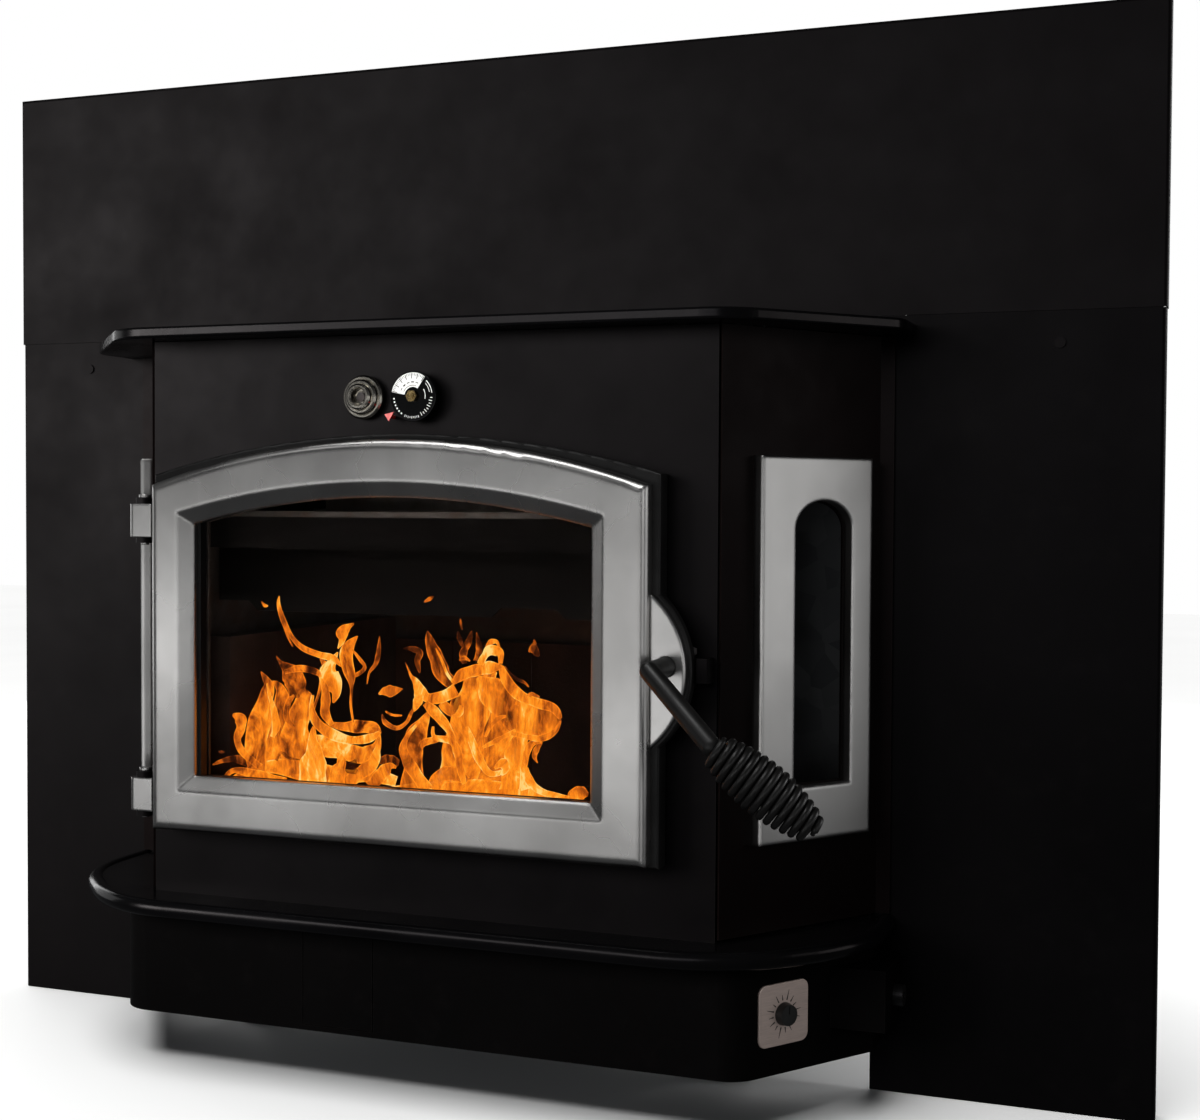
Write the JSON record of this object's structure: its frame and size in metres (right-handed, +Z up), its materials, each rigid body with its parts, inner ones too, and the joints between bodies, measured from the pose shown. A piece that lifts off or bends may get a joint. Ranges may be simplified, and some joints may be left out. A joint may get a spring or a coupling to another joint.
{
  "type": "catalytic wood stove insert",
  "caption": "Catalytic wood stove insert with a flat surround, bay-shaped cabinet, arched glass door, sprung latch handle, bypass damper, top flue collar and blower base.",
  "frame": {"origin": "middle of the footprint's bounding box, at hearth level", "axes": "+Z up, +Y towards the chimney back, the door faces -Y, +X to the right seen from the front"},
  "size_m": [1.3716, 0.7242, 1.1176],
  "materials": {
    "surround_top_panel": "satin black stove paint",
    "surround_left_panel": "satin black stove paint",
    "surround_right_panel": "satin black stove paint",
    "surround_joiners": "satin black stove paint",
    "front_plate": "satin black stove paint",
    "casing_left": "satin black stove paint",
    "casing_right": "satin black stove paint",
    "jacket_wrap": "galvanised sheet",
    "jacket_top": "galvanised sheet",
    "top_shelf": "semi-gloss black",
    "hearth_ledge": "semi-gloss black",
    "side_trim_left": "satin nickel plate",
    "side_trim_right": "satin nickel plate",
    "firebox_wall_left": "bare plate steel, sooted",
    "firebox_wall_right": "bare plate steel, sooted",
    "firebox_wall_back": "bare plate steel, sooted",
    "firebox_floor": "bare plate steel, sooted",
    "firebox_roof": "bare plate steel, sooted",
    "flue_collar": "blackened",
    "brick_floor": "pumice firebrick",
    "brick_left": "pumice firebrick",
    "brick_right": "pumice firebrick",
    "brick_back": "pumice firebrick",
    "smoke_shelf": "bare plate steel, sooted",
    "combustor_can": "satin nickel plate",
    "combustor_block": "coated honeycomb",
    "flame_shield": "blackened",
    "airwash_channel": "satin black stove paint",
    "damper_plate": "blackened",
    "damper_shaft": "bare plate steel, sooted",
    "damper_pull_rod": "bare plate steel, sooted",
    "damper_knob": "polished, turned",
    "thermo_dial": "gloss black enamel",
    "thermo_scale": "printed scale, plain ticks",
    "thermo_stem": "plain",
    "thermo_pointer": "gloss red",
    "door_plate": "blackened",
    "door_trim": "satin nickel plate",
    "door_glass": "clear ceramic glass",
    "door_gasket": "glass-fibre rope",
    "glass_retainer": "bare plate steel, sooted",
    "hinge_lugs": "satin nickel plate",
    "latch_ear": "satin nickel plate",
    "handle_rod": "blackened",
    "spring_grip": "blackened",
    "latch_cam": "bare plate steel, sooted",
    "hinge_brackets": "satin black stove paint",
    "hinge_pins": "satin nickel plate",
    "latch_keeper": "satin black stove paint",
    "base_skirt": "satin black stove paint",
    "base_cover": "satin black stove paint",
    "base_pan": "galvanised sheet",
    "levelling_feet": "bare plate steel, sooted",
    "control_plate": "satin plate with radial ticks",
    "control_knob": "matte black",
    "blower_motor": "blackened",
    "blower_wheels": "galvanised sheet",
    "blower_housings": "galvanised sheet",
    "electrical_box": "satin black stove paint",
    "cord_gland": "matte black"
  },
  "bodies": {
    "stove": {"surround_top_panel": "surround_top_panel", "surround_left_panel": "surround_left_panel", "surround_right_panel": "surround_right_panel", "surround_joiners": "surround_joiners", "front_plate": "front_plate", "casing_left": "casing_left", "casing_right": "casing_right", "jacket_wrap": "jacket_wrap", "jacket_top": "jacket_top", "top_shelf": "top_shelf", "hearth_ledge": "hearth_ledge", "side_trim_left": "side_trim_left", "side_trim_right": "side_trim_right", "firebox_wall_left": "firebox_wall_left", "firebox_wall_right": "firebox_wall_right", "firebox_wall_back": "firebox_wall_back", "firebox_floor": "firebox_floor", "firebox_roof": "firebox_roof", "flue_collar": "flue_collar", "brick_floor": "brick_floor", "brick_left": "brick_left", "brick_right": "brick_right", "brick_back": "brick_back", "smoke_shelf": "smoke_shelf", "combustor_can": "combustor_can", "combustor_block": "combustor_block", "flame_shield": "flame_shield", "airwash_channel": "airwash_channel", "thermo_stem": "thermo_stem", "thermo_pointer": "thermo_pointer", "hinge_brackets": "hinge_brackets", "hinge_pins": "hinge_pins", "latch_keeper": "latch_keeper", "base_skirt": "base_skirt", "base_cover": "base_cover", "base_pan": "base_pan", "levelling_feet": "levelling_feet", "control_plate": "control_plate", "blower_motor": "blower_motor", "blower_housings": "blower_housings", "electrical_box": "electrical_box", "cord_gland": "cord_gland"},
    "door": {"door_plate": "door_plate", "door_trim": "door_trim", "door_glass": "door_glass", "door_gasket": "door_gasket", "glass_retainer": "glass_retainer", "hinge_lugs": "hinge_lugs", "latch_ear": "latch_ear"},
    "handle": {"handle_rod": "handle_rod", "spring_grip": "spring_grip", "latch_cam": "latch_cam"},
    "damper_pull": {"damper_pull_rod": "damper_pull_rod", "damper_knob": "damper_knob"},
    "damper_flap": {"damper_plate": "damper_plate", "damper_shaft": "damper_shaft"},
    "thermometer": {"thermo_dial": "thermo_dial", "thermo_scale": "thermo_scale"},
    "fan_knob": {"control_knob": "control_knob"},
    "fan_rotor": {"blower_wheels": "blower_wheels"}
  },
  "joints": [
    {"name": "door_swing", "type": "hinge", "parent": "stove", "child": "door", "pos_m": [-0.3632, -0.23493, 0.47], "axis": [0, 0, -1], "range_deg": [0, 110]},
    {"name": "handle_turn", "type": "hinge", "parent": "door", "child": "handle", "pos_m": [0.2368, -0.23493, 0.458], "axis": [0, -1, 0], "range_deg": [-25, 50]},
    {"name": "damper_slide", "type": "slide", "parent": "stove", "child": "damper_pull", "axis": [0, -1, 0], "range_m": [0, 0.05]},
    {"name": "damper_flap_turn", "type": "hinge", "parent": "stove", "child": "damper_flap", "pos_m": [-0.0432, 0.05507, 0.62], "axis": [1, 0, 0], "range_deg": [0, 27]},
    {"name": "thermometer_turn", "type": "hinge", "parent": "stove", "child": "thermometer", "pos_m": [-0.0432, -0.22493, 0.725], "axis": [0, -1, 0], "range_deg": [-120, 60]},
    {"name": "fan_speed_turn", "type": "hinge", "parent": "stove", "child": "fan_knob", "pos_m": [0.34074, -0.17795, 0.113], "axis": [0.8221, -0.5693, 0], "range_deg": [0, 270]},
    {"name": "fan_spin", "type": "hinge", "parent": "stove", "child": "fan_rotor", "pos_m": [-0.0432, 0.21507, 0.128], "axis": [1, 0, 0], "continuous": true}
  ],
  "couplings": [
    {"joint": "damper_flap_turn", "follows": "damper_slide", "rad_per_m": 9.32}
  ]
}
